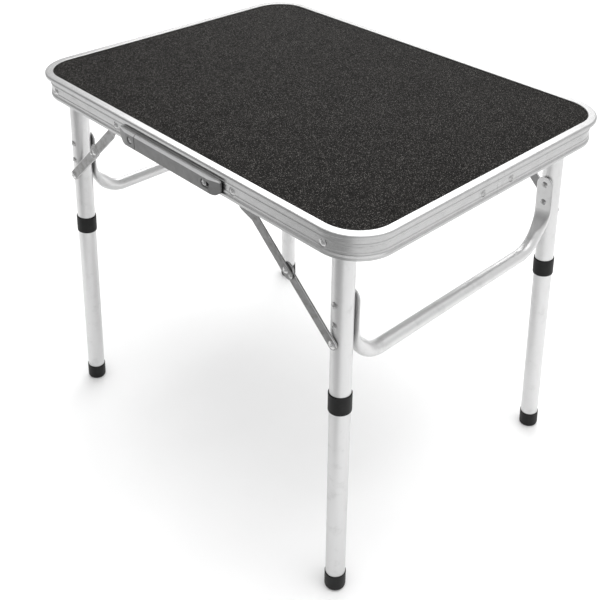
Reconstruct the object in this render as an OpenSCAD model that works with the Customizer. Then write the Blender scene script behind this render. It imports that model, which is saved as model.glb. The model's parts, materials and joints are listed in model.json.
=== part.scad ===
// Folding grooming table: a panel in an aluminium rim, on two folding leg frames
// with locking braces and four pull-out extension legs. Millimetres, +Z up.
// The origin is on the floor, under the middle of the top. X runs along the handle side.

/* [Top] */
// Length of the top over the rim
top_length = 600; // [560:5:700]
// Width of the top over the rim
top_width = 450; // [430:5:520]
// Height of the rim's top above the floor
table_height = 525; // [480:5:560]
// Outer radius of the top's corners
corner_radius = 54; // [48:1:70]
// Height of the rim extrusion
rim_height = 32; // [31:0.5:36]
// Width of the rim's flat band around the panel
band_width = 10.5; // [9:0.5:12]

/* [Legs] */
// Outer diameter of the leg tubes
tube_d = 25; // [24:0.5:26]
// Wall of the leg tubes
tube_wall = 1.2; // [1:0.1:1.6]
// Lean of each leg frame outwards along the length, in degrees
lean_length = 3.4; // [2:0.1:4]
// Lean of each leg outwards across the width, in degrees
lean_width = 2.9; // [2:0.1:3]
// Distance of the leg pivots from the middle, along the length
pivot_x = 247; // [244:1:252]
// Distance of the leg axes from the middle at their pivots, across the width
pivot_y = 188; // [186:0.5:189]
// Depth of the leg pivots below the rim's top
pivot_drop = 20; // [19.8:0.1:21]
// Length of an upper leg from its pivot to the joint with the extension
upper_leg = 211.5; // [205:0.5:225]
// Diameter of the black collar at the joint
collar_d = 27.6; // [27:0.1:28]
// Height of the collar
collar_h = 25; // [22:1:32]
// Diameter of a rubber foot
foot_d = 27; // [26.6:0.1:29]
// Height of a rubber foot
foot_h = 25; // [20:1:30]
// Depth to which an extension's plug goes up into the upper leg
plug_depth = 45; // [35:1:60]

/* [Cross bars] */
// Outer diameter of the U-shaped cross bar
bar_d = 18; // [16:0.5:19]
// Distance of the cross bar below the leg pivots
bar_drop = 170; // [165:1:180]
// Bend radius of the cross bar
bar_bend = 40; // [36:1:42]

/* [Braces] */
// Distance of a brace's top pivot from the middle
brace_x = 110; // [100:1:120]
// Distance of a brace's bottom pivot from the leg pivot
brace_drop = 129.5; // [125:0.5:132]
// Width of the brace strips
strip_w = 13; // [11:0.5:14]
// Thickness of the brace strips
strip_t = 2; // [1.5:0.1:2]

/* [Handle] */
// Length of the handle strap
strap_l = 190; // [180:1:196]
// Height of the handle strap
strap_h = 20; // [16:0.5:21]
// Thickness of the handle strap
strap_t = 6.4; // [5:0.1:6.4]
// Distance of the handle screws from the middle
post_x = 70; // [68:0.5:74]
// Distance of the outer flex lines from the middle
flex_out = 60; // [56:0.5:62]
// Distance of the inner flex lines from the middle
flex_in = 22; // [18:1:30]

/* [Hidden] */
$fn = 96;

aluminium = "#C9CBCD";
bright_aluminium = "#DDDFE0";
steel = "#8D9093";
grip_grey = "#7C7E80";
black_rubber = "#1E1F20";
panel_black = "#2B2A2A";
board_brown = "#A98D6B";

// The stack of the panel, measured down from the rim's top. The rim's flange rests on the
// board's margin, round the laminate
laminate_drop = 1.2;
laminate_t = 0.7;
laminate_gap = 0.1;
board_t = 3.8;
backing_t = 0.5;
flange_t = laminate_drop + laminate_t;
panel_bottom = flange_t + board_t + backing_t;
panel_x = top_length / 2 - band_width;
panel_y = top_width / 2 - band_width;
panel_r = corner_radius - band_width;
// How far the panel goes into the rim past its visible edge
panel_in = 2.4;

// The rim's section: e is measured outwards from the panel's visible edge
web_in = 2.5;
web_out = 4.5;
lip_r = 2.2;
lip_under = 5.2;
ridge_proud = 0.6;
ridge_half = 1.3;
ridge_a = 14.5;
ridge_b = 24.5;
foot_lip = 6.2;
groove_flange = 6;
seam = 0.3;

pivot_z = table_height - pivot_drop;
tube_r = tube_d / 2;
tube_in = tube_r - tube_wall;
leg_reach = pivot_z / (cos(lean_length) * cos(lean_width));
pin_r = 3;
pin_head_r = 4.8;
pin_tail_r = 4.6;
spacer_r = 5.5;
splice_head_r = 4.3;
post_collar_r = 4.2;
seat_gap = 0.2;
running = 0.05;
web_face = panel_y + web_out;
web_back = panel_y + web_in;

// The brace's side view: top pivot, bottom pivot and the knee between them.
// The two links differ by as much as the pivots' distances from the leg pivot do,
// so that they would lie flat on each other with the frame folded.
brace_top = [brace_x, pivot_z];
brace_low = [pivot_x + brace_drop * cos(lean_width) * sin(lean_length),
    pivot_z - brace_drop * cos(lean_width) * cos(lean_length)];
brace_span = norm(brace_low - brace_top);
link_difference = (pivot_x - brace_x) - brace_drop * cos(lean_width);
link_upper = (brace_span + link_difference) / 2;
link_lower = (brace_span - link_difference) / 2;
brace_slope = atan2(brace_low[1] - brace_top[1], brace_low[0] - brace_top[0]);
// Layers across the width, from the leg's outer side towards the rim
lower_layer = pivot_y + brace_drop * sin(lean_width) + tube_r / cos(lean_width) + 0.65;
upper_layer = lower_layer + strip_t + 0.3;
tab_layer = web_back - strip_t - 0.1;
joggle_start = 20;
joggle_end = 36;
past_knee = 12;
knee_head_r = 8.3;
knee_head_up = 1.8;
stop_past = 8.5;
stop_up = 2.6;
stop_r = 1.6;
pip_past = 17;
pip_up = 1.5;
pip_r = 1.4;
pip_proud = 0.25;

strap_z = table_height - 23;
strap_back = web_face + 2;
strap_front = strap_back + strap_t;
flex_gap = 1.4;
bow_slot = 6.2;

function sides() = [[-1, -1], [1, -1], [-1, 1], [1, 1]];

// Draws its children in the right back quarter, mirrored to the quarter asked for
module quarter(sx, sy) {
    mirror([sx < 0 ? 1 : 0, 0, 0]) mirror([0, sy < 0 ? 1 : 0, 0]) children();
}

// A leg frame's own plane: origin level with the pivots, in the middle of the width
module on_frame(sx) {
    mirror([sx < 0 ? 1 : 0, 0, 0]) translate([pivot_x, 0, pivot_z])
        rotate([0, -lean_length, 0]) children();
}

// A leg's own frame: origin at its pivot, the tube runs down along -Z, +Y is outwards
module on_leg(sx, sy) {
    on_frame(sx) mirror([0, sy < 0 ? 1 : 0, 0]) translate([0, pivot_y, 0])
        rotate([lean_width, 0, 0]) children();
}

// A cylinder along Y from y0 to y1
module along_y(r, y0, y1) {
    translate([0, y0, 0]) rotate([-90, 0, 0]) cylinder(r = r, h = y1 - y0);
}

// A low domed rivet head of radius r, standing dome high on the plane y = y0, towards +Y.
// The dimple in its middle is where a blind rivet's mandrel broke off
module rivet_head(r, dome, y0) {
    sphere_r = (r * r + dome * dome) / (2 * dome);
    dimple_r = r * 0.34;
    difference() {
        intersection() {
            translate([0, y0 + dome - sphere_r, 0]) sphere(r = sphere_r);
            along_y(r, y0, y0 + dome + 1);
        }
        translate([0, y0 + dome * 0.45, 0]) rotate([-90, 0, 0])
            cylinder(r1 = dimple_r * 0.5, r2 = dimple_r, h = dome * 0.56);
    }
}

// ---------------------------------------------------------------- top

// A flat slab with round corners, grown by e past the panel's visible edge
module panel_slab(e, z_top, thick) {
    x = panel_x + e;
    y = panel_y + e;
    r = panel_r + e;
    translate([0, 0, z_top - thick]) {
        translate([-x, -(y - r), 0]) cube([2 * x, 2 * (y - r), thick]);
        translate([-(x - r), -y, 0]) cube([2 * (x - r), 2 * y, thick]);
        for (s = sides()) translate([s[0] * (x - r), s[1] * (y - r), 0])
            cylinder(r = r, h = thick);
    }
}

bracket_half = 13;
bracket_t = 2;
ear_y = pivot_y - tube_r - 0.9 - bracket_t;
bracket_depth = 24;
screw_r = 1.9;
screw_half = 7;
screw_bite = 3.4;
screw_head_r = 3.4;
screw_head_h = 1.8;

// The places of the bracket's two screws, at the level of the panel's underside
module at_bracket_screws() {
    for (dx = [-screw_half, screw_half])
        translate([pivot_x + dx, ear_y - bracket_depth / 2, table_height - panel_bottom])
        children();
}

module screw_holes() {
    for (s = sides()) quarter(s[0], s[1]) at_bracket_screws()
        translate([0, 0, -1]) cylinder(r = screw_r, h = screw_bite + 1.1);
}

module top_board() {
    color(board_brown) difference() {
        panel_slab(panel_in, table_height - flange_t, board_t);
        screw_holes();
    }
}

module top_laminate() {
    color(panel_black) panel_slab(-laminate_gap, table_height - laminate_drop, laminate_t);
}

module backing_sheet() {
    color(aluminium) difference() {
        panel_slab(panel_in, table_height - flange_t - board_t, backing_t);
        screw_holes();
    }
}

// A round-cornered step of the rim's section, from angle a0 to a1 about (x, y)
function arc(x, y, r, a0, a1, n = 5) =
    [for (i = [0:n]) let (a = a0 + (a1 - a0) * i / n) [x + r * cos(a), y + r * sin(a)]];

function ridge(z) = [[web_out, -z + ridge_half + 0.5], [web_out + ridge_proud, -z + ridge_half - 0.3],
    [web_out + ridge_proud, -z - ridge_half + 0.3], [web_out, -z - ridge_half - 0.5]];

// The rim's section, with x outwards from the panel's visible edge and y up from the top
module rim_section() {
    polygon(concat(
        [[0, -flange_t], [0, -0.4], [0.4, 0]],
        arc(band_width - lip_r, -lip_r, lip_r, 90, 0),
        arc(band_width - 1, -lip_under + 1, 1, 0, -90),
        [[web_out + 1.5, -lip_under], [web_out, -lip_under - 1.2]],
        ridge(ridge_a),
        ridge(ridge_b),
        [[web_out, -rim_height + 5.2], [foot_lip, -rim_height + 3.6]],
        arc(foot_lip - 1, -rim_height + 1, 1, 0, -90),
        [[web_in, -rim_height], [web_in, -panel_bottom - 1.2],
         [-groove_flange, -panel_bottom - 1.2], [-groove_flange, -panel_bottom],
         [web_in, -panel_bottom], [web_in, -flange_t]]));
}

module rim_long_side() {
    run = top_length - 2 * corner_radius;
    translate([-run / 2, panel_y, table_height]) rotate([90, 0, 90])
        linear_extrude(run) rim_section();
}

module rim_short_side() {
    run = top_width - 2 * corner_radius;
    translate([panel_x, run / 2, table_height]) rotate([90, 0, 0])
        linear_extrude(run) rim_section();
}

module rim_corner() {
    translate([panel_x - panel_r, panel_y - panel_r, table_height]) rotate_extrude(angle = 90)
        translate([panel_r, 0]) rim_section();
}

// A rivet's hole through a web from y0 to y1, and the flat pressed into the ridges under its head
module rivet_seat(shank_r, head_r, y0, y1) {
    along_y(shank_r, y0 - 3, y1 + 0.5);
    along_y(head_r + seat_gap, y1, y1 + 3);
}

splice_half = 36;
splice_h = 18;
splice_t = 1.6;
splice_rivet_y = 25;
splice_tail_r = 3.8;
rivet_r = 2.4;

// One bent extrusion, with its seam in the middle of the right-hand end
module rim() {
    color(bright_aluminium) difference() {
        union() {
            for (sy = [-1, 1]) quarter(1, sy) rim_long_side();
            for (sx = [-1, 1]) quarter(sx, 1) rim_short_side();
            for (s = sides()) quarter(s[0], s[1]) rim_corner();
        }
        translate([panel_x - band_width, -seam / 2, table_height - rim_height - 1])
            cube([3 * band_width, seam, rim_height + 2]);
        for (s = sides()) quarter(s[0], s[1]) for (x = [pivot_x, brace_x])
            translate([x, 0, pivot_z]) rivet_seat(pin_r, pin_head_r, web_back, web_face);
        for (x = [-post_x, post_x]) translate([x, 0, strap_z])
            mirror([0, 1, 0]) rivet_seat(rivet_r, post_collar_r, web_back, web_face);
        for (y = [-splice_rivet_y, splice_rivet_y]) translate([panel_x, y, pivot_z])
            rotate([0, 0, -90]) rivet_seat(rivet_r, splice_head_r, web_in, web_out);
    }
}

module splice_plate() {
    color(aluminium) difference() {
        translate([panel_x + web_in - splice_t, -splice_half, pivot_z - splice_h / 2])
            cube([splice_t, 2 * splice_half, splice_h]);
        for (y = [-splice_rivet_y, splice_rivet_y]) translate([panel_x, y, pivot_z])
            rotate([0, 90, 0]) cylinder(r = rivet_r, h = web_out);
    }
}

module splice_rivets() {
    color(steel) for (y = [-splice_rivet_y, splice_rivet_y])
        translate([panel_x, y, pivot_z]) rotate([0, 0, -90]) {
            along_y(rivet_r, web_in - splice_t - 0.8, web_out);
            along_y(splice_tail_r, web_in - splice_t - 1.3, web_in - splice_t);
            rivet_head(splice_head_r, 1.7, web_out);
        }
}

module pivot_bracket(sx, sy) {
    color(steel) quarter(sx, sy) difference() {
        union() {
            translate([pivot_x - bracket_half, ear_y, pivot_z])
                cube([2 * bracket_half, bracket_t, pivot_drop - panel_bottom]);
            translate([pivot_x, 0, pivot_z]) along_y(bracket_half - 2, ear_y, ear_y + bracket_t);
            translate([pivot_x - bracket_half, ear_y - bracket_depth, table_height - panel_bottom - bracket_t])
                cube([2 * bracket_half, bracket_depth + bracket_t, bracket_t]);
        }
        translate([pivot_x, 0, pivot_z]) along_y(pin_r, ear_y - 1, ear_y + bracket_t + 1);
        at_bracket_screws() translate([0, 0, -bracket_t - 1]) cylinder(r = screw_r, h = bracket_t + 2);
    }
}

module bracket_screws() {
    color(steel) for (s = sides()) quarter(s[0], s[1]) at_bracket_screws() {
        translate([0, 0, -bracket_t]) cylinder(r = screw_r, h = bracket_t + screw_bite);
        translate([0, 0, -bracket_t - screw_head_h])
            cylinder(r1 = screw_head_r - 1, r2 = screw_head_r, h = screw_head_h);
    }
}

// Each pin runs through the rim's web, the spacer, the leg and the bracket's ear
module leg_pivot_pins() {
    color(steel) for (s = sides()) quarter(s[0], s[1]) translate([pivot_x, 0, pivot_z]) {
        along_y(pin_r, ear_y, web_face);
        along_y(pin_tail_r, ear_y - 1.5, ear_y);
        rivet_head(pin_head_r, 2, web_face);
    }
}

// A spacer stops short of the web, which curves away into the corner there
module pivot_spacers() {
    color(panel_black) for (s = sides()) quarter(s[0], s[1]) translate([pivot_x, 0, pivot_z])
        difference() {
            along_y(spacer_r, pivot_y + tube_r + 0.7, web_back - 0.6);
            along_y(pin_r, pivot_y, web_back);
        }
}

module brace_top_rivets() {
    color(steel) for (s = sides()) quarter(s[0], s[1]) translate([brace_x, 0, pivot_z]) {
        along_y(pin_r, tab_layer - 1.7, web_face);
        along_y(pin_tail_r, tab_layer - 1.7, tab_layer - 0.1);
        rivet_head(pin_head_r, 2, web_face);
    }
}

// ------------------------------------------------------------- handle

strap_bevel = 2.6;
end_taper = 17;
end_t = 2.2;
end_top_r = 4;
end_low_r = 11;
post_head_r = 4.4;
post_tail_r = 4;
post_tail_t = 1.4;
post_sink = 1.5;

// The whole strap at its closed place on the front side, not yet cut at its flex lines.
// It is the part that three views of it share: along it, from above and from the front.
module strap_body() {
    half_l = strap_l / 2;
    half_h = strap_h / 2;
    translate([0, 0, strap_z]) mirror([0, 1, 0]) intersection() {
        translate([-half_l, 0, 0]) rotate([90, 0, 90]) linear_extrude(strap_l) polygon([
            [strap_back, -half_h], [strap_front - 0.8, -half_h], [strap_front, -half_h + 0.8],
            [strap_front, half_h - strap_bevel], [strap_front - strap_bevel, half_h], [strap_back, half_h]]);
        translate([0, 0, -half_h]) linear_extrude(strap_h) polygon([
            [-half_l, strap_back], [half_l, strap_back],
            [half_l, strap_back + end_t], [half_l - end_taper, strap_front],
            [end_taper - half_l, strap_front], [-half_l, strap_back + end_t]]);
        translate([0, strap_front, 0]) rotate([90, 0, 0]) linear_extrude(strap_t) polygon(concat(
            arc(half_l - end_top_r, half_h - end_top_r, end_top_r, 90, 0, 6),
            arc(half_l - end_low_r, end_low_r - half_h, end_low_r, 0, -90, 10),
            arc(end_low_r - half_l, end_low_r - half_h, end_low_r, -90, -180, 10),
            arc(end_top_r - half_l, half_h - end_top_r, end_top_r, 180, 90, 6)));
    }
}

// The stretch of the strap from x0 to x1
module strap_part(x0, x1) {
    color(grip_grey) intersection() {
        strap_body();
        translate([x0, -strap_front - 1, strap_z - strap_h]) cube([x1 - x0, strap_t + 2, 2 * strap_h]);
    }
}

module handle_left_end() {
    difference() {
        strap_part(-strap_l, -flex_out - flex_gap / 2);
        translate([-post_x, 0, strap_z]) mirror([0, 1, 0]) {
            along_y(rivet_r, strap_back - 1, strap_front);
            along_y(post_head_r + 0.3, strap_front - post_sink, strap_front + 1);
        }
    }
}

module handle_left_flex() {
    strap_part(-flex_out + flex_gap / 2, -flex_in - flex_gap / 2);
}

module handle_grip() {
    strap_part(-flex_in + flex_gap / 2, flex_in - flex_gap / 2);
}

module handle_right_flex() {
    strap_part(flex_in + flex_gap / 2, flex_out - flex_gap / 2);
}

// A slot of half-width r for the right-hand post, from depth y0 to y1
module bow_slot_cut(r, y0, y1) {
    for (x = [post_x, post_x + bow_slot]) translate([x, 0, strap_z]) mirror([0, 1, 0]) along_y(r, y0, y1);
    translate([post_x, -y1, strap_z - r]) cube([bow_slot, y1 - y0, 2 * r]);
}

// The slot lets this end draw in when the strap bows out
module handle_right_end() {
    difference() {
        strap_part(flex_out + flex_gap / 2, strap_l);
        bow_slot_cut(rivet_r + running, strap_back - 1, strap_front);
        bow_slot_cut(post_head_r + 0.3, strap_front - post_sink, strap_front + 1);
    }
}

// The posts' heads are sunk in the strap. The right-hand one is a touch proud of the slot's floor
module handle_posts() {
    color(steel) for (x = [-post_x, post_x]) translate([x, 0, strap_z]) mirror([0, 1, 0]) {
        seat = strap_front - post_sink + (x > 0 ? running : 0);
        along_y(rivet_r, web_back - post_tail_t, seat);
        along_y(post_tail_r, web_back - post_tail_t, web_back);
        difference() {
            along_y(post_collar_r, web_face, strap_back);
            along_y(rivet_r, web_face - 1, strap_back + 1);
        }
        rivet_head(post_head_r, 1.3, seat);
    }
}

// --------------------------------------------------------- leg frames

cross_rivet_a = 82;
cross_rivet_b = 107;
plate_top = 71;
plate_end = 116;
plate_half = 12;
plate_t = 2.6;
saddle = 0.3;
neck_l = 40;
neck_lap = 0.6;
neck_sides = 24;
neck_rings = 9;
neck_inset = 0.05;
bar_r = bar_d / 2;
bar_in = bar_r - 1.2;
bar_off = tube_r + 0.3 + bar_r;
brace_rivet_r = 2.5;

// Holes and shanks of the two rivets that hold the cross bar, in a leg's own frame
module cross_rivet_shanks(y0, y1) {
    for (d = [cross_rivet_a, cross_rivet_b]) translate([0, 0, -d]) along_y(rivet_r, y0, y1);
}

// The pivots' bores run straight across the table, so they are cut outside the leg's frame
module pivot_bore(sx, sy) {
    quarter(sx, sy) translate([pivot_x, 0, pivot_z]) along_y(pin_r + running, pivot_y - 30, pivot_y + 30);
}

module brace_bore(sx, sy, r) {
    quarter(sx, sy) translate([brace_low[0], 0, brace_low[1]])
        along_y(r, pivot_y + 6, lower_layer + strip_t);
}

module upper_tube(sx, sy) {
    color(aluminium) difference() {
        on_leg(sx, sy) difference() {
            translate([0, 0, -upper_leg]) cylinder(r = tube_r, h = upper_leg + 4);
            translate([0, 0, -upper_leg - 1]) cylinder(r = tube_in, h = upper_leg + 6);
            cross_rivet_shanks(-tube_r - 1, tube_r + 1);
        }
        pivot_bore(sx, sy);
        brace_bore(sx, sy, brace_rivet_r);
    }
}

// The rivets' outer heads are saddled on the tube; their inner heads lie on the flattened bar
module cross_bar_rivets(sx) {
    color(steel) for (sy = [-1, 1]) on_leg(sx, sy) {
        cross_rivet_shanks(-tube_r - plate_t, tube_r + saddle);
        for (d = [cross_rivet_a, cross_rivet_b]) {
            difference() {
                translate([0, 0, -d]) union() {
                    along_y(4.2, tube_r - 1.2, tube_r + saddle);
                    rivet_head(4.2, 1.1, tube_r + saddle);
                }
                translate([0, 0, -d - 6]) cylinder(r = tube_r, h = 12);
                translate([0, 0, -d]) along_y(rivet_r, tube_r - 2, tube_r + saddle);
            }
            translate([0, 0, -d]) mirror([0, 1, 0]) rivet_head(4.2, 1.5, tube_r + plate_t);
        }
    }
}

// Where the cross bar's bend begins, and the bend's centre, in the frame's plane
bar_line_y = pivot_y - bar_off * cos(lean_width);
bar_line_z = -bar_off * sin(lean_width);
bend_start = (bar_line_z + bar_drop - bar_bend * (1 + sin(lean_width))) / cos(lean_width);
bend_y = bar_line_y + bend_start * sin(lean_width) - bar_bend * cos(lean_width);
neck_straight = bend_start - plate_end + neck_lap;

function mix(a, b, s) = a + (b - a) * s;

// x raised to the power e, with its sign kept
function bulge(x, e) = sign(x) * pow(abs(x), e);

// How far the bar has turned at the distance p along its neck, in degrees
function bar_turn(p) = max(0, p - neck_straight) / bar_bend * 180 / PI;

// The ring of the neck at p: flat against the leg where it starts, round where it ends.
// Its outer side follows the outside of the round bar's bend all the way
function neck_ring(p) =
    let (part = p / neck_l,
        s = part * part * (3 - 2 * part),
        turn = bar_turn(p),
        y = -bar_off - bar_bend * (1 - cos(turn)),
        z = neck_lap - plate_end - min(p, neck_straight) - bar_bend * sin(turn),
        thin = plate_t / 2 - neck_inset,
        wide = plate_half - neck_inset,
        middle = bar_r - mix(thin, bar_r, s) + (bar_off - bar_r - tube_r - neck_inset) * (1 - s))
    [for (k = [0:neck_sides - 1]) let (
        a = 360 * k / neck_sides,
        across = mix(wide * bulge(cos(a), 0.3), bar_r * cos(a), s),
        out = middle + mix(thin * bulge(sin(a), 0.5), bar_r * sin(a), s))
        [across, y + out * cos(turn), z - out * sin(turn)]];

// The neck between a flattened end and the round bar, in the leg's frame
module bar_neck() {
    last = neck_rings * neck_sides;
    points = [for (i = [0:neck_rings]) each neck_ring(neck_l * i / neck_rings)];
    walls = [for (i = [0:neck_rings - 1], k = [0:neck_sides - 1])
        let (near = i * neck_sides, far = near + neck_sides, next = (k + 1) % neck_sides)
        each [[near + k, near + next, far + next], [near + k, far + next, far + k]]];
    start = [for (k = [neck_sides - 1:-1:0]) k];
    end = [for (k = [0:neck_sides - 1]) last + k];
    polyhedron(points, concat([start], walls, [end]));
}

// The bar's round stretches at radius r: both bends past the necks, and the run between them.
// The bends are a touch fuller than the straight run, as pressed bends are
module bar_run(r, fuller) {
    for (turn = [0, 180]) rotate([0, 0, turn])
        translate([0, bend_y, bar_bend - bar_drop]) rotate([90, 0, 90]) rotate([0, 0, -90])
            rotate_extrude(angle = 90 + lean_width - bar_turn(neck_l - neck_lap))
                translate([bar_bend, 0]) circle(r = r + fuller);
    translate([0, 0, -bar_drop]) along_y(r, -bend_y, bend_y);
}

// A flattened end: a plate with a round top
module bar_plate() {
    y0 = -tube_r - plate_t;
    difference() {
        union() {
            translate([-plate_half, y0, -plate_end])
                cube([2 * plate_half, plate_t, plate_end - plate_top - plate_half]);
            translate([0, 0, -plate_top - plate_half]) along_y(plate_half, y0, -tube_r);
        }
        cross_rivet_shanks(y0 - 1, -tube_r + 1);
    }
}

module cross_bar(sx) {
    color(aluminium) rotate([0, 0, sx < 0 ? 180 : 0]) on_frame(1) {
        difference() {
            bar_run(bar_r, 0.05);
            bar_run(bar_in, -0.05);
        }
        for (turn = [0, 180]) rotate([0, 0, turn]) translate([0, pivot_y, 0])
            rotate([lean_width, 0, 0]) {
                bar_plate();
                bar_neck();
            }
    }
}

// The collar's skirt hangs over the top of the extension leg
module collar(sx, sy) {
    top_chamfer = 0.9;
    low_r = 1.1;
    color(black_rubber) on_leg(sx, sy) translate([0, 0, -upper_leg]) rotate_extrude()
        polygon(concat([[tube_r, 0], [tube_r + running, 0], [tube_r + running, -collar_h / 2]],
            arc(collar_d / 2 - low_r, low_r - collar_h / 2, low_r, -90, 0, 4),
            [[collar_d / 2, collar_h / 2 - top_chamfer], [collar_d / 2 - top_chamfer, collar_h / 2],
             [tube_r, collar_h / 2]]));
}

// One rivet on each leg's outer side, which its lower brace link turns on
module brace_bottom_rivets(sx) {
    color(steel) for (sy = [-1, 1]) quarter(sx, sy) translate([brace_low[0], 0, brace_low[1]]) {
        along_y(brace_rivet_r, lower_layer - 4, lower_layer + strip_t + 0.1);
        rivet_head(5, 1.6, lower_layer + strip_t + 0.1);
    }
}

// ----------------------------------------------------- extension legs

sole_t = 4;
plug_grip = 30;
plug_wall = 3;

module extension_tube(sx, sy) {
    color(aluminium) on_leg(sx, sy) difference() {
        translate([0, 0, sole_t - leg_reach]) cylinder(r = tube_r, h = leg_reach - sole_t - upper_leg - 0.1);
        translate([0, 0, sole_t - leg_reach - 1]) cylinder(r = tube_in, h = leg_reach);
    }
}

// The plug is fixed in the extension's mouth and slides in the upper leg
module plug(sx, sy) {
    bore = tube_in - plug_wall;
    color(black_rubber) on_leg(sx, sy) translate([0, 0, -upper_leg]) rotate_extrude()
        polygon([[bore, -plug_grip], [tube_in, -plug_grip], [tube_in, -0.1], [tube_in - running, 0],
            [tube_in - running, plug_depth - 1.5], [tube_in - 1.5, plug_depth], [bore, plug_depth]]);
}

// A rubber cup with a rounded rim, cut level with the floor
module foot(sx, sy) {
    round_r = 4.5;
    // How far the cup would reach below the floor before it is cut level
    below = 0.8;
    color(black_rubber) difference() {
        on_leg(sx, sy) translate([0, 0, -leg_reach]) rotate_extrude()
            polygon(concat([[0, sole_t], [0, -below]],
                arc(foot_d / 2 - round_r, round_r - below, round_r, -90, 0, 8),
                [[foot_d / 2, foot_h - 0.6], [foot_d / 2 - 0.6, foot_h],
                 [tube_r, foot_h], [tube_r, sole_t]]));
        translate([-top_length, -top_width, -sole_t]) cube([2 * top_length, 2 * top_width, sole_t]);
    }
}

// -------------------------------------------------------------- braces

// Draws its children along the brace: origin at the top pivot, +X towards the bottom pivot,
// +Y outwards across the width and +Z up from the strip's upper edge
module on_brace(sx, sy) {
    quarter(sx, sy) translate([brace_top[0], 0, brace_top[1]]) rotate([0, -brace_slope, 0]) children();
}

// The upper link steps inwards from the rim's web to the outside of the lower link
module brace_upper(sx, sy) {
    y0 = upper_layer;
    y1 = tab_layer;
    end = link_upper + past_knee - strip_w / 2;
    color(steel) on_brace(sx, sy) difference() {
        union() {
            translate([0, 0, -strip_w / 2]) linear_extrude(strip_w) polygon([
                [0, y1], [joggle_start, y1], [joggle_end, y0], [end, y0],
                [end, y0 + strip_t], [joggle_end, y0 + strip_t],
                [joggle_start, y1 + strip_t], [0, y1 + strip_t]]);
            along_y(strip_w / 2, y1, y1 + strip_t);
            translate([end, 0, 0]) along_y(strip_w / 2, y0, y0 + strip_t);
        }
        along_y(pin_r + running, y1 - 1, y1 + strip_t + 1);
        translate([link_upper, 0, 0]) along_y(rivet_r, y0 - 1, y0 + strip_t + 1);
        translate([link_upper + stop_past, 0, stop_up]) along_y(stop_r, y0 - 1, y0 + strip_t + 1);
    }
}

// The lower link has a wide round head behind the knee
module brace_lower(sx, sy) {
    y0 = lower_layer;
    color(steel) on_brace(sx, sy) difference() {
        union() {
            translate([link_upper, y0, -strip_w / 2]) cube([link_lower, strip_t, strip_w]);
            translate([brace_span, 0, 0]) along_y(strip_w / 2, y0, y0 + strip_t);
            translate([link_upper, 0, knee_head_up]) along_y(knee_head_r, y0, y0 + strip_t);
            translate([link_upper + pip_past, 0, pip_up])
                along_y(pip_r, y0 + strip_t, y0 + strip_t + pip_proud);
        }
        translate([brace_span, 0, 0]) along_y(brace_rivet_r + running, y0 - 1, y0 + strip_t + 1);
    }
}

// The knee rivet and the smaller stop rivet beside it, both held in the upper link
module knee_rivets(sx, sy) {
    y0 = upper_layer;
    color(steel) on_brace(sx, sy) {
        translate([link_upper, 0, 0]) {
            along_y(rivet_r, y0, y0 + strip_t);
            rivet_head(4, 1.6, y0 + strip_t);
        }
        translate([link_upper + stop_past, 0, stop_up]) {
            along_y(stop_r, y0, y0 + strip_t);
            rivet_head(2.8, 1.2, y0 + strip_t);
        }
    }
}

top_board();
top_laminate();
backing_sheet();
rim();
splice_plate();
splice_rivets();
pivot_bracket(-1, -1);  // bracket_front_left
pivot_bracket(1, -1);  // bracket_front_right
pivot_bracket(-1, 1);  // bracket_back_left
pivot_bracket(1, 1);  // bracket_back_right
bracket_screws();
leg_pivot_pins();
pivot_spacers();
brace_top_rivets();
handle_posts();
handle_left_end();
handle_left_flex();
handle_grip();
handle_right_flex();
handle_right_end();
upper_tube(-1, -1);  // upper_leg_front_left
upper_tube(1, -1);  // upper_leg_front_right
upper_tube(-1, 1);  // upper_leg_back_left
upper_tube(1, 1);  // upper_leg_back_right
cross_bar(-1);  // cross_bar_left
cross_bar(1);  // cross_bar_right
cross_bar_rivets(-1);  // cross_bar_rivets_left
cross_bar_rivets(1);  // cross_bar_rivets_right
collar(-1, -1);  // collar_front_left
collar(1, -1);  // collar_front_right
collar(-1, 1);  // collar_back_left
collar(1, 1);  // collar_back_right
brace_bottom_rivets(-1);  // brace_bottom_rivets_left
brace_bottom_rivets(1);  // brace_bottom_rivets_right
extension_tube(-1, -1);  // extension_front_left
extension_tube(1, -1);  // extension_front_right
extension_tube(-1, 1);  // extension_back_left
extension_tube(1, 1);  // extension_back_right
plug(-1, -1);  // plug_front_left
plug(1, -1);  // plug_front_right
plug(-1, 1);  // plug_back_left
plug(1, 1);  // plug_back_right
foot(-1, -1);  // foot_front_left
foot(1, -1);  // foot_front_right
foot(-1, 1);  // foot_back_left
foot(1, 1);  // foot_back_right
brace_upper(-1, -1);  // brace_upper_front_left
brace_upper(1, -1);  // brace_upper_front_right
brace_upper(-1, 1);  // brace_upper_back_left
brace_upper(1, 1);  // brace_upper_back_right
brace_lower(-1, -1);  // brace_lower_front_left
brace_lower(1, -1);  // brace_lower_front_right
brace_lower(-1, 1);  // brace_lower_back_left
brace_lower(1, 1);  // brace_lower_back_right
knee_rivets(-1, -1);  // knee_rivets_front_left
knee_rivets(1, -1);  // knee_rivets_front_right
knee_rivets(-1, 1);  // knee_rivets_back_left
knee_rivets(1, 1);  // knee_rivets_back_right
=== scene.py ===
import json
import math

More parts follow.
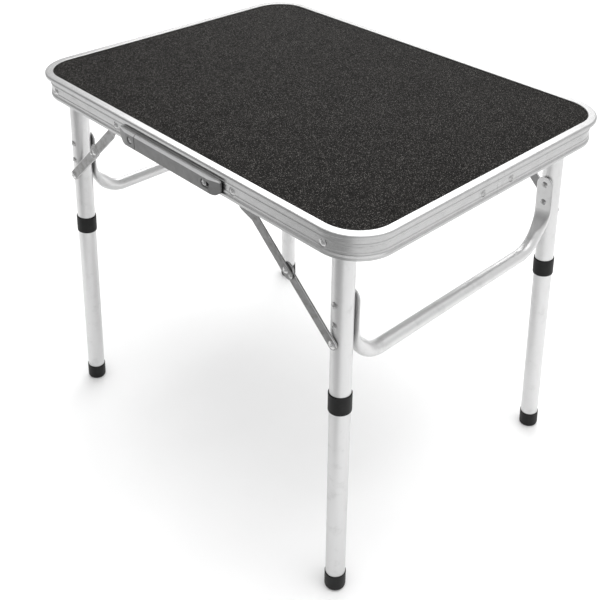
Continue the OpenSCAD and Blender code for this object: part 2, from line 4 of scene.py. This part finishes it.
import bmesh
import bpy
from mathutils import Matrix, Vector


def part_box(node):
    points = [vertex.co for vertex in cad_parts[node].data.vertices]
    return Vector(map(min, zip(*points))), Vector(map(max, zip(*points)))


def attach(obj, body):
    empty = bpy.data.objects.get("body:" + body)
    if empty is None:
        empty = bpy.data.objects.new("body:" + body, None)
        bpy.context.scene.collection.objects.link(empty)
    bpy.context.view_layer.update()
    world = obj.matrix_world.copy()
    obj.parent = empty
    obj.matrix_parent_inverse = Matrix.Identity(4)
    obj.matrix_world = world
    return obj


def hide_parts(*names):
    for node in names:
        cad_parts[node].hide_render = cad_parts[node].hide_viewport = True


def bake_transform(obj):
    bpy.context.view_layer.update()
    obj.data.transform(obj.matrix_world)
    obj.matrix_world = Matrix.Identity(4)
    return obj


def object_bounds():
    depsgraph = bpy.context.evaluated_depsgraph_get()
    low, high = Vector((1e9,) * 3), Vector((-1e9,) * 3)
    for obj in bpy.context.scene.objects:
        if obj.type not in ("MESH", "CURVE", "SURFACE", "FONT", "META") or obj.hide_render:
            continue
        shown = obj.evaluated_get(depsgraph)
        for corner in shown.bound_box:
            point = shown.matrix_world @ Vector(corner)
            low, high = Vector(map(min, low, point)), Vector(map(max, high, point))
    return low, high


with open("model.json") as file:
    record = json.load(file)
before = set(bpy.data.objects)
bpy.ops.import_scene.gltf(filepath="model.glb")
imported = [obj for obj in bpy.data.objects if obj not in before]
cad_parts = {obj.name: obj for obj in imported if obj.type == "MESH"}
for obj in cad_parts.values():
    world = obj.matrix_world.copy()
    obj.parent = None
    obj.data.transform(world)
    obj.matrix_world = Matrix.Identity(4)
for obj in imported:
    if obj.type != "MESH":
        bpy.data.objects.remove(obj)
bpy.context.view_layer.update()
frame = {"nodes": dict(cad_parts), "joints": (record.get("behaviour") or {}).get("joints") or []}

MM = 0.001
NODES = frame["nodes"]
CORNERS = ("front_left", "front_right", "back_left", "back_right")
SIDES = ("left", "right")

# Edges of the CAD nodes
WELD_REACH = 0.002 * MM
EDGE_EASE = 0.35 * MM
EDGE_ANGLE = math.radians(35)
EVEN_WEIGHT = 80

# Materials
LAMINATE_IOR = 1.08
PANEL_CORNER = 43.5 * MM
LINE_DRIFT = 0.012
# Reach and turn of the painted highlight along the steel's edges, which also stands for edge wear
HIGHLIT_WORN_REACH = 1.6 * MM
HIGHLIT_WORN_TURN = (0.85, 0.995)
# How softly the painted highlight on the grip's upper bevel fades in
BEVEL_HIGHLIGHT_FADE = 0.25 * MM

# The handle's strap
STRAP_BEVEL = 2.6 * MM
STRAP_EASE = 0.8 * MM
STRAP_ROUND = 0.25 * MM
STRAP_GROOVE = 0.8 * MM
STRAP_STEPS = 4
STRAP_PITCH = 1.2 * MM
STRAP_CREASE = math.radians(20)

# The cross bars, as the frame has them
TUBE_RADIUS = 12.5 * MM
PIVOT_ACROSS = 188 * MM
BAR_RADIUS = 9 * MM
BAR_GAP = 0.3 * MM
BAR_BEND = 40 * MM
BAR_DROP = 170 * MM
NECK_LENGTH = 40 * MM
PLATE_TOP = 71 * MM
PLATE_END = 116 * MM
PLATE_HALF = 12 * MM
PLATE_THICK = 2.6 * MM

# How the swept bars are drawn: the powers square off the flattened ends
FLAT_EDGE = 0.3
FLAT_FACE = 0.5
BAR_SIDES = 48
END_STEPS = 10
RING_PITCH = 2 * MM

# Floor and its flag, which only reflections see
FLOOR_SIZE = 14
FLAG_SIDE = (0.12, -0.99, 0)
FLAG_EDGE = (0.70, 0.96)
FLAG_LEVEL = 0.38
FLAG_REACH = (0.45, 0.85)

# Surroundings and lights: metres and watts
WALL_DARK = 0.30
WALL_BRIGHT = 0.95
WALL_BRIGHT_SIDE = (0.35, 0.70, 0.62)
WALL_BRIGHT_FROM = 0.75
LIGHT_TARGET = (0, 0, 0.4)
OVERHEAD_PLACE = (0.2, 0.3, 2.6)
OVERHEAD_SIZE = (2.6, 2.2)
OVERHEAD_WATTS = 48
BACK_PLACE = (-1.7, 1.9, 2.3)
BACK_SIZE = (2.2, 1.5)
BACK_WATTS = 26

# Camera: metres, degrees, millimetres and shares of the picture
CAMERA_PLACE = (0.750, -0.722, 0.9604)
CAMERA_TURN = (55.55, -0.95, 45.77)
CAMERA_LENS = 52.34
CAMERA_SENSOR = 36
CAMERA_SHIFT = (-0.034, -0.050)


# ---------------------------------------------------------------- shader building

class Shader:
    """A principled material being built; each method adds a node and returns its output socket."""

    def __init__(self, name, roughness, metallic=0.0, specular=0.5):
        self.material = bpy.data.materials.new(name)
        self.material.use_nodes = True
        self.tree = self.material.node_tree
        self.surface = self.tree.nodes["Principled BSDF"]
        self.surface.inputs["Roughness"].default_value = roughness
        self.surface.inputs["Metallic"].default_value = metallic
        self.surface.inputs["Specular IOR Level"].default_value = specular

    def feed(self, socket, value):
        if isinstance(value, bpy.types.NodeSocket):
            self.tree.links.new(value, socket)
        else:
            socket.default_value = value

    def node(self, kind, **settings):
        made = self.tree.nodes.new(kind)
        for key, value in settings.items():
            setattr(made, key, value)
        return made

    def place(self):
        """Coordinates in the frame's own metres, which stay with the piece as it moves."""
        return self.node("ShaderNodeTexCoord").outputs["Object"]

    def turned(self, vector, scale=(1, 1, 1), rotation=(0, 0, 0)):
        made = self.node("ShaderNodeMapping")
        self.feed(made.inputs["Vector"], vector)
        made.inputs["Scale"].default_value = scale
        made.inputs["Rotation"].default_value = rotation
        return made.outputs["Vector"]

    def noise(self, vector, scale, detail=3.0, roughness=0.55):
        made = self.node("ShaderNodeTexNoise")
        self.feed(made.inputs["Vector"], vector)
        made.inputs["Scale"].default_value = scale
        made.inputs["Detail"].default_value = detail
        made.inputs["Roughness"].default_value = roughness
        return made.outputs["Fac"]

    def cells(self, vector, scale, smooth=None):
        made = self.node("ShaderNodeTexVoronoi", feature="SMOOTH_F1" if smooth else "F1")
        self.feed(made.inputs["Vector"], vector)
        made.inputs["Scale"].default_value = scale
        if smooth:
            made.inputs["Smoothness"].default_value = smooth
        return made.outputs["Distance"]

    def range(self, value, low, high, to_low, to_high):
        made = self.node("ShaderNodeMapRange", interpolation_type="SMOOTHSTEP")
        for key, number in zip(("From Min", "From Max", "To Min", "To Max"), (low, high, to_low, to_high)):
            made.inputs[key].default_value = number
        self.feed(made.inputs["Value"], value)
        return made.outputs["Result"]

    def maths(self, operation, a, b):
        made = self.node("ShaderNodeMath", operation=operation)
        self.feed(made.inputs[0], a)
        self.feed(made.inputs[1], b)
        return made.outputs["Value"]

    def scaled_sum(self, a, factor, b):
        """a times the factor, plus b."""
        made = self.node("ShaderNodeMath", operation="MULTIPLY_ADD")
        self.feed(made.inputs[0], a)
        self.feed(made.inputs[1], factor)
        self.feed(made.inputs[2], b)
        return made.outputs["Value"]

    def height(self, place):
        split = self.node("ShaderNodeSeparateXYZ")
        self.feed(split.inputs["Vector"], place)
        return split.outputs["Z"]

    def vectors(self, operation, a, b=(0, 0, 0)):
        made = self.node("ShaderNodeVectorMath", operation=operation)
        self.feed(made.inputs[0], a)
        self.feed(made.inputs[1], b)
        return made.outputs["Value" if operation in ("LENGTH", "DOT_PRODUCT") else "Vector"]

    def mix(self, factor, a, b):
        made = self.node("ShaderNodeMix", data_type="RGBA")
        self.feed(made.inputs["Factor"], factor)
        self.feed(made.inputs["A"], a)
        self.feed(made.inputs["B"], b)
        return made.outputs["Result"]

    def bump(self, height, distance, strength):
        made = self.node("ShaderNodeBump")
        made.inputs["Strength"].default_value = strength
        made.inputs["Distance"].default_value = distance
        self.feed(made.inputs["Height"], height)
        return made.outputs["Normal"]

    def highlit_worn_edge(self, reach):
        """1 along the edges of a piece and 0 further than the reach from them."""
        rounded = self.node("ShaderNodeBevel", samples=8)
        rounded.inputs["Radius"].default_value = reach
        unrounded = self.node("ShaderNodeNewGeometry").outputs["Normal"]
        turn = self.vectors("DOT_PRODUCT", rounded.outputs["Normal"], unrounded)
        return self.range(turn, *HIGHLIT_WORN_TURN, 1.0, 0.0)

    def finish(self, colour=None, roughness=None, normal=None):
        for key, value in (("Base Color", colour), ("Roughness", roughness), ("Normal", normal)):
            if value is not None:
                self.feed(self.surface.inputs[key], value)
        return self.material


def grey(level, warm=0.0):
    return (level * (1 + warm), level, level * (1 - warm), 1.0)


# ---------------------------------------------------------------- materials

def laminate_material():
    """Black laminate with a fine pebbled texture whose crowns are painted lighter: painted glints of the
    pebbles' sheen, partly also wear.
    """
    s = Shader("pebbled_black_laminate", 0.55)
    s.surface.inputs["IOR"].default_value = LAMINATE_IOR
    place = s.place()
    pebbles = s.cells(place, 820, smooth=0.15)
    crowns = s.range(pebbles, 0.05, 0.5, 1.0, 0.0)
    pits = s.noise(place, 1500, 2.0)
    mottle = s.noise(place, 45, 4.0, 0.65)
    height = s.scaled_sum(pits, 0.35, crowns)
    # Light flecks on some crowns: painted glints standing in for the pebbles' sheen, partly also wear
    glint_and_wear = s.range(s.noise(place, 820, 2.0), 0.46, 0.62, 0.0, 1.0)
    base = s.mix(s.range(mottle, 0.3, 0.7, 0.0, 1.0), grey(0.0045, 0.07), grey(0.0080, 0.07))
    colour = s.mix(s.maths("MULTIPLY", glint_and_wear, crowns), base, grey(0.24, 0.05))
    rough = s.range(s.noise(place, 240, 3.0), 0.3, 0.7, 0.46, 0.62)
    return s.finish(colour, rough, s.bump(height, 0.2 * MM, 0.9))


def rim_distance(s, place):
    """How far a point is outside the rectangle through the centres of the panel's round corners,
    so that lines of equal distance run along the rim and round its corners."""
    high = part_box("top_laminate")[1]
    inner = (high.x - PANEL_CORNER, high.y - PANEL_CORNER, 1.0)
    outside = s.vectors("SUBTRACT", s.vectors("ABSOLUTE", s.vectors("MULTIPLY", place, (1, 1, 0))), inner)
    return s.vectors("LENGTH", s.vectors("MAXIMUM", outside, (0, 0, 0)))


def rim_material():
    """Anodised extrusion: fine die lines that follow the rim round its corners."""
    s = Shader("anodised_rim", 0.3, metallic=1.0)
    place = s.place()
    across = rim_distance(s, place)
    along = s.vectors("SCALE", place)
    along.node.inputs["Scale"].default_value = LINE_DRIFT
    line_place = s.node("ShaderNodeCombineXYZ")
    s.feed(line_place.inputs["X"], across)
    s.feed(line_place.inputs["Y"], s.height(place))
    drifting = s.vectors("ADD", line_place.outputs["Vector"], along)
    fine = s.noise(drifting, 3600, 3.0, 0.6)
    broad = s.noise(drifting, 700, 2.0)
    lines = s.scaled_sum(broad, 0.6, fine)
    wear = s.range(s.noise(place, 60, 5.0, 0.7), 0.45, 0.75, 0.0, 1.0)
    colour = s.mix(wear, grey(0.46), grey(0.41))
    rough = s.range(lines, 0.5, 1.1, 0.22, 0.40)
    return s.finish(colour, rough, s.bump(lines, 0.02 * MM, 0.55))


def tube_material(name, axis):
    """Satin anodised tube with faint drawing lines along its axis and light handling marks."""
    s = Shader(name, 0.3, metallic=1.0)
    place = s.place()
    upright = Vector(axis).rotation_difference(Vector((0, 0, 1))).to_euler()
    drawn = s.turned(s.turned(place, rotation=upright), scale=(2600, 2600, 22))
    lines = s.noise(drawn, 1.0, 3.0, 0.6)
    marks = s.range(s.noise(place, 42, 6.0, 0.72), 0.5, 0.72, 0.0, 1.0)
    colour = s.mix(marks, grey(0.64), grey(0.57))
    rough = s.scaled_sum(marks, 0.06, s.range(lines, 0.3, 0.7, 0.34, 0.44))
    return s.finish(colour, rough, s.bump(lines, 0.012 * MM, 0.5))


def steel_material():
    """Zinc plated steel: a dull metal with a faint spangle, darker marks, and a painted highlight along its
    edges that also stands for edge wear.
    """
    s = Shader("zinc_plated_steel", 0.36, metallic=1.0)
    place = s.place()
    spangle = s.cells(place, 330)
    grain = s.noise(s.turned(place, scale=(420, 2400, 420)), 1.0, 3.0)
    stain = s.range(s.noise(place, 95, 5.0, 0.7), 0.42, 0.68, 0.0, 1.0)
    plated = s.mix(stain, grey(0.26), grey(0.19, 0.02))
    # The edges are painted near white: a painted highlight that also stands for wear along them
    colour = s.mix(s.highlit_worn_edge(HIGHLIT_WORN_REACH), plated, grey(0.70))
    rough = s.maths("ADD", s.range(spangle, 0.0, 0.7, 0.30, 0.42), s.range(stain, 0, 1, 0.0, 0.06))
    return s.finish(colour, rough, s.bump(grain, 0.03 * MM, 0.6))


def rivet_material(name, bright, dull):
    """Aluminium rivets: domes with a little tarnish."""
    s = Shader(name, 0.3, metallic=1.0)
    place = s.place()
    tarnish = s.range(s.noise(place, 160, 4.0, 0.7), 0.42, 0.7, 0.0, 1.0)
    scuffs = s.noise(place, 900, 3.0, 0.6)
    colour = s.mix(tarnish, grey(bright), grey(dull))
    return s.finish(colour, s.range(scuffs, 0.3, 0.7, 0.18, 0.30), s.bump(scuffs, 0.02 * MM, 0.5))


def plain_aluminium_material():
    """Mill-finish sheet with a rolled grain along the length of the table."""
    s = Shader("mill_finish_sheet", 0.42, metallic=1.0)
    place = s.place()
    grain = s.noise(s.turned(place, scale=(30, 1500, 1500)), 1.0, 4.0, 0.6)
    blotch = s.range(s.noise(place, 14, 4.0, 0.6), 0.35, 0.7, 0.0, 1.0)
    colour = s.mix(blotch, grey(0.60), grey(0.50))
    return s.finish(colour, s.range(grain, 0.3, 0.7, 0.36, 0.52), s.bump(grain, 0.02 * MM, 0.6))


def grip_material():
    """Grey moulded plastic with a fine spark-eroded grain and a painted highlight on its upper bevel."""
    s = Shader("grey_grip_plastic", 0.4, specular=0.5)
    place = s.place()
    grain = s.noise(place, 2300, 2.0, 0.6)
    shade = s.range(s.noise(place, 70, 4.0, 0.6), 0.35, 0.65, 0.0, 1.0)
    bevel_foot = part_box("handle_grip")[1].z - STRAP_BEVEL
    bevel_highlight = s.range(s.height(place), bevel_foot - BEVEL_HIGHLIGHT_FADE, bevel_foot + BEVEL_HIGHLIGHT_FADE, 0.0, 1.0)
    # The upper bevel is painted light grey: a painted highlight where the bevel faces the light
    colour = s.mix(bevel_highlight, s.mix(shade, grey(0.120), grey(0.150)), grey(0.52))
    rough = s.range(s.noise(place, 300, 3.0), 0.3, 0.7, 0.34, 0.46)
    return s.finish(colour, rough, s.bump(grain, 0.05 * MM, 0.5))


def rubber_material():
    """Black moulded rubber: matte, with fine pores and a dusty bloom."""
    s = Shader("black_rubber", 0.6, specular=0.2)
    place = s.place()
    pores = s.noise(place, 1900, 3.0, 0.6)
    bloom = s.range(s.noise(place, 130, 5.0, 0.7), 0.45, 0.75, 0.0, 1.0)
    colour = s.mix(bloom, grey(0.008), grey(0.018))
    rough = s.range(bloom, 0, 1, 0.5, 0.66)
    return s.finish(colour, rough, s.bump(pores, 0.07 * MM, 0.6))


def black_plastic_material():
    """Black moulded plastic, smoother than the rubber."""
    s = Shader("black_plastic", 0.42, specular=0.45)
    place = s.place()
    grain = s.noise(place, 1200, 2.0)
    colour = s.mix(s.range(s.noise(place, 90, 4.0), 0.4, 0.7, 0.0, 1.0), grey(0.016), grey(0.028))
    return s.finish(colour, s.range(grain, 0.3, 0.7, 0.36, 0.5), s.bump(grain, 0.03 * MM, 0.5))


def board_material():
    """Raw fibreboard: matted brown fibres."""
    s = Shader("fibreboard", 0.85, specular=0.2)
    place = s.place()
    fibres = s.noise(s.turned(place, scale=(700, 2100, 2600)), 1.0, 5.0, 0.7)
    colour = s.mix(s.range(fibres, 0.35, 0.65, 0.0, 1.0), (0.27, 0.185, 0.115, 1), (0.42, 0.31, 0.20, 1))
    return s.finish(colour, None, s.bump(fibres, 0.1 * MM, 0.8))


def leg_axis(corner):
    """The direction of a leg, which is the direction in which its extension pulls out."""
    for joint in frame["joints"]:
        if joint["name"] == f"extension_{corner}_pull":
            return joint["axis"]


def ease_edges(node):
    """Rounds the sheared or moulded edges a little, so that they catch the light.
    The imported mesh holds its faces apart, so they are joined first."""
    joined = node.modifiers.new("joined", "WELD")
    joined.merge_threshold = WELD_REACH
    eased = node.modifiers.new("eased_edges", "BEVEL")
    eased.width = EDGE_EASE
    eased.segments = 2
    eased.limit_method = "ANGLE"
    eased.angle_limit = EDGE_ANGLE
    node.modifiers.new("even_shading", "WEIGHTED_NORMAL").weight = EVEN_WEIGHT


def paint_frame():
    """Gives every CAD node its material, and eases the edges of the strips, brackets and handle."""
    steel = steel_material()
    rivets = rivet_material("bright_rivets", 0.66, 0.50)
    dull_rivets = rivet_material("dull_rivets", 0.46, 0.34)
    rubber = rubber_material()
    plastic = black_plastic_material()
    sheet = plain_aluminium_material()
    bars = tube_material("satin_cross_bar", (0, 1, 0))
    by_start = [("upper_leg", None), ("extension", None),
                ("cross_bar_rivets", dull_rivets), ("cross_bar", bars),
                ("collar", rubber), ("foot", rubber), ("plug", plastic), ("pivot_spacers", plastic),
                ("top_board", board_material()), ("top_laminate", laminate_material()),
                ("backing_sheet", sheet), ("splice_plate", sheet), ("rim", rim_material()),
                ("splice_rivets", dull_rivets), ("leg_pivot_pins", rivets), ("brace_top_rivets", rivets),
                ("brace_bottom_rivets", rivets), ("knee_rivets", rivets),
                ("handle_posts", dull_rivets), ("handle", grip_material())]
    tubes = {c: tube_material(f"satin_tube_{c}", leg_axis(c)) for c in CORNERS}
    for name, node in NODES.items():
        material = steel
        for start, choice in by_start:
            if name.startswith(start):
                material = choice or next(tubes[c] for c in CORNERS if name.endswith(c))
                break
        node.data.materials.clear()
        node.data.materials.append(material)
        if name.startswith(("brace_upper", "brace_lower", "bracket_front", "bracket_back", "handle")):
            ease_edges(node)


# ---------------------------------------------------------------- swept pieces

def mix(a, b, share):
    return a + (b - a) * share


def close_rings(mesh, rings):
    """Joins rings of vertices into one closed sweep with smoothly shaded sides."""
    count = len(rings[0])
    for near, far in zip(rings, rings[1:]):
        for k in range(count):
            after = (k + 1) % count
            mesh.faces.new((near[k], far[k], far[after], near[after])).smooth = True
    mesh.faces.new(rings[0])
    mesh.faces.new(rings[-1])
    bmesh.ops.recalc_face_normals(mesh, faces=mesh.faces)


def piece_from(mesh, name, material):
    data = bpy.data.meshes.new(name)
    mesh.to_mesh(data)
    mesh.free()
    piece = bpy.data.objects.new(name, data)
    bpy.context.scene.collection.objects.link(piece)
    data.materials.append(material)
    return piece


# ---------------------------------------------------------------- strap of the handle

def strap_section(recess):
    """The strap's outline across its length as (y, z), with its upper bevel and eased edges."""
    low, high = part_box("handle_grip")
    front, back = low.y + recess, high.y - recess
    bottom, top = low.z + recess, high.z - recess
    corners = [(back, bottom), (front + STRAP_EASE, bottom), (front, bottom + STRAP_EASE),
               (front, top - STRAP_BEVEL), (front + STRAP_BEVEL, top), (back, top)]
    outline = []
    for i, here in enumerate(corners):
        here = Vector(here)
        after = (i + 1) % len(corners)
        for other in (corners[i - 1], corners[after]):
            outline.append(here + (Vector(other) - here).normalized() * STRAP_ROUND)
    return outline


def strap_stretch(name, span, recess=0.0, stands_for=()):
    """The strap from one place along X to another, as one straight piece."""
    section = strap_section(recess)
    steps = max(STRAP_STEPS, round((span[1] - span[0]) / STRAP_PITCH))
    mesh = bmesh.new()
    rings = []
    for i in range(steps + 1):
        x = mix(*span, i / steps)
        rings.append([mesh.verts.new((x, y, z)) for y, z in section])
    close_rings(mesh, rings)
    piece = piece_from(mesh, name, NODES["handle_grip"].data.materials[0])
    piece.data.set_sharp_from_angle(angle=STRAP_CREASE)
    for node in stands_for:
        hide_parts(node)
    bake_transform(piece)


def make_strap():
    """The strap between its two ends: a groove joins it to the left end, a straight piece joins it to the
    right end, and two straight halves fill the strap between them."""
    left_end, grip_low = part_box("handle_left_end")[1].x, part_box("handle_left_flex")[0].x
    grip_high, right_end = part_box("handle_right_flex")[1].x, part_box("handle_right_end")[0].x
    strap_stretch("handle_groove", (left_end, grip_low), STRAP_GROOVE)
    strap_stretch("handle_left_half", (grip_low, 0),
                  stands_for=("handle_left_flex", "handle_grip"))
    strap_stretch("handle_right_half", (0, grip_high),
                  stands_for=("handle_right_flex",))
    strap_stretch("handle_right_bend", (grip_high, right_end))


# ---------------------------------------------------------------- cross bars

def bulge(value, power):
    """The value raised to the power, with its sign kept: below 1 it squares off a round."""
    return math.copysign(abs(value) ** power, value)


def bar_ring(place, turn, across, out, middle=0.0, round_share=1.0):
    """One ring of the bar, in a leg's own frame: place is (y, z) on the bar's line, turn how far the
    bar has bent from the leg's direction, and across and out are the ring's half sizes."""
    ring = []
    for k in range(BAR_SIDES):
        angle = 2 * math.pi * k / BAR_SIDES
        wide, thick = math.cos(angle), math.sin(angle)
        side = across * mix(bulge(wide, FLAT_EDGE), wide, round_share)
        depth = middle + out * mix(bulge(thick, FLAT_FACE), thick, round_share)
        ring.append((side, place[0] + depth * math.cos(turn), place[1] - depth * math.sin(turn)))
    return ring


def half_bar(lean):
    """The rings from the flattened end against a leg, down the neck and round the bend."""
    line = TUBE_RADIUS + BAR_GAP + BAR_RADIUS
    fall = BAR_DROP - line * math.sin(lean) - BAR_BEND * (1 + math.sin(lean))
    bend_start = fall / math.cos(lean)
    plate_out = PLATE_THICK / 2
    plate_middle = line - TUBE_RADIUS - plate_out
    rings = []
    for i in range(1, END_STEPS + 1):
        angle = math.pi / 2 * i / END_STEPS
        down = PLATE_TOP + PLATE_HALF * (1 - math.cos(angle))
        rings.append(bar_ring((-line, -down), 0, PLATE_HALF * math.sin(angle), plate_out, plate_middle, 0))
    whole_turn = math.pi / 2 + lean
    bend_end = bend_start + BAR_BEND * whole_turn
    steps = math.ceil((bend_end - PLATE_END) / RING_PITCH)
    for i in range(steps + 1):
        down = mix(PLATE_END, bend_end, i / steps)
        turn = max(0, down - bend_start) / BAR_BEND
        part = min(1, (down - PLATE_END) / NECK_LENGTH)
        share = part * part * (3 - 2 * part)
        place = (-line - BAR_BEND * (1 - math.cos(turn)), -min(down, bend_start) - BAR_BEND * math.sin(turn))
        across, out = mix(PLATE_HALF, BAR_RADIUS, share), mix(plate_out, BAR_RADIUS, share)
        middle = BAR_RADIUS - out + BAR_GAP * (1 - share)
        rings.append(bar_ring(place, turn, across, out, middle, share))
    return rings


def make_cross_bar(side):
    """The U-shaped bar between two legs, as one tube that is pressed flat against them at its ends."""
    outwards = 1 if side == "right" else -1
    axis = Vector(leg_axis(f"front_{side}"))
    axis *= -math.copysign(1, axis.z)
    lean_across, lean_along = math.asin(abs(axis.y)), math.atan2(abs(axis.x), abs(axis.z))
    hinge = next(j for j in frame["joints"] if j["name"] == f"leg_frame_{side}_fold")
    pivot = Vector(hinge["pos_m"])
    half = half_bar(lean_across)
    mesh = bmesh.new()
    rings = []
    for mirrored, rows in ((1, half), (-1, half[::-1])):
        for row in rows:
            verts = []
            for x, y, z in row:
                over = mirrored * (PIVOT_ACROSS + y * math.cos(lean_across) - z * math.sin(lean_across))
                down = y * math.sin(lean_across) + z * math.cos(lean_across)
                along = x * math.cos(lean_along) - down * math.sin(lean_along)
                height = x * math.sin(lean_along) + down * math.cos(lean_along)
                verts.append(mesh.verts.new((pivot.x + outwards * along, over, pivot.z + height)))
            rings.append(verts)
    close_rings(mesh, rings)
    material = NODES[f"cross_bar_{side}"].data.materials[0]
    piece = piece_from(mesh, f"pressed_bar_{side}", material)
    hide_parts(f"cross_bar_{side}")
    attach(piece, f"leg_frame_{side}")


paint_frame()
make_strap()
for side in SIDES:
    make_cross_bar(side)


# ---------------------------------------------------------------- stage, light and camera

def floor_plane():
    """A plain pale floor. In reflections one side of it is grey, as under a black studio flag."""
    bpy.ops.mesh.primitive_plane_add(size=FLOOR_SIZE, location=(0, 0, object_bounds()[0].z))
    floor = bpy.context.object
    floor.name = "studio_floor"
    s = Shader("studio_floor", 0.75, specular=0.1)
    place = s.place()
    tone = s.range(s.noise(place, 3.0, 3.0), 0.3, 0.7, 0.0, 1.0)
    towards = s.vectors("DOT_PRODUCT", s.vectors("NORMALIZE", place), FLAG_SIDE)
    far = s.range(s.vectors("LENGTH", place), *FLAG_REACH, 0.0, 1.0)
    flag = s.maths("MULTIPLY", s.range(towards, *FLAG_EDGE, 0.0, 1.0), far)
    seen = s.maths("MULTIPLY", flag, s.node("ShaderNodeLightPath").outputs["Is Glossy Ray"])
    s.finish(s.mix(seen, s.mix(tone, grey(0.90), grey(0.92)), grey(FLAG_LEVEL)))
    floor.data.materials.append(s.material)


def area_light(name, location, size, power):
    light = bpy.data.lights.new(name, "AREA")
    light.shape = "RECTANGLE"
    light.size, light.size_y = size
    light.energy = power
    lamp = bpy.data.objects.new(name, light)
    bpy.context.scene.collection.objects.link(lamp)
    lamp.location = location
    lamp.rotation_euler = (Vector(LIGHT_TARGET) - Vector(location)).to_track_quat("-Z", "Y").to_euler()


def studio_light():
    """Soft light from above and behind, in surroundings that go from bright behind the table to grey
    in front of it, for the metal to mirror."""
    world = bpy.data.worlds.new("studio")
    bpy.context.scene.world = world
    world.use_nodes = True
    tree = world.node_tree
    background = tree.nodes["Background"]
    direction = tree.nodes.new("ShaderNodeTexCoord").outputs["Generated"]
    across = tree.nodes.new("ShaderNodeVectorMath")
    across.operation = "DOT_PRODUCT"
    across.inputs[1].default_value = WALL_BRIGHT_SIDE
    tree.links.new(direction, across.inputs[0])
    ramp = tree.nodes.new("ShaderNodeValToRGB")
    ramp.color_ramp.interpolation = "EASE"
    dark, bright = ramp.color_ramp.elements
    dark.position, bright.position = 0.0, WALL_BRIGHT_FROM
    dark.color, bright.color = grey(WALL_DARK), grey(WALL_BRIGHT)
    shifted = tree.nodes.new("ShaderNodeMath")
    shifted.operation = "MULTIPLY_ADD"
    shifted.inputs[1].default_value = 0.5
    shifted.inputs[2].default_value = 0.5
    tree.links.new(across.outputs["Value"], shifted.inputs[0])
    tree.links.new(shifted.outputs["Value"], ramp.inputs["Fac"])
    tree.links.new(ramp.outputs["Color"], background.inputs["Color"])
    area_light("overhead_softbox", OVERHEAD_PLACE, OVERHEAD_SIZE, OVERHEAD_WATTS)
    area_light("back_softbox", BACK_PLACE, BACK_SIZE, BACK_WATTS)
    bpy.context.scene.view_settings.view_transform = "Standard"


def main_camera():
    """A camera above the front right corner, with a small shift for its framing."""
    camera = bpy.data.objects.new("camera", bpy.data.cameras.new("camera"))
    bpy.context.scene.collection.objects.link(camera)
    camera.location = CAMERA_PLACE
    camera.rotation_euler = [math.radians(a) for a in CAMERA_TURN]
    camera.data.lens = CAMERA_LENS
    camera.data.sensor_width = CAMERA_SENSOR
    camera.data.shift_x, camera.data.shift_y = CAMERA_SHIFT
    bpy.context.scene.camera = camera


floor_plane()
studio_light()
main_camera()
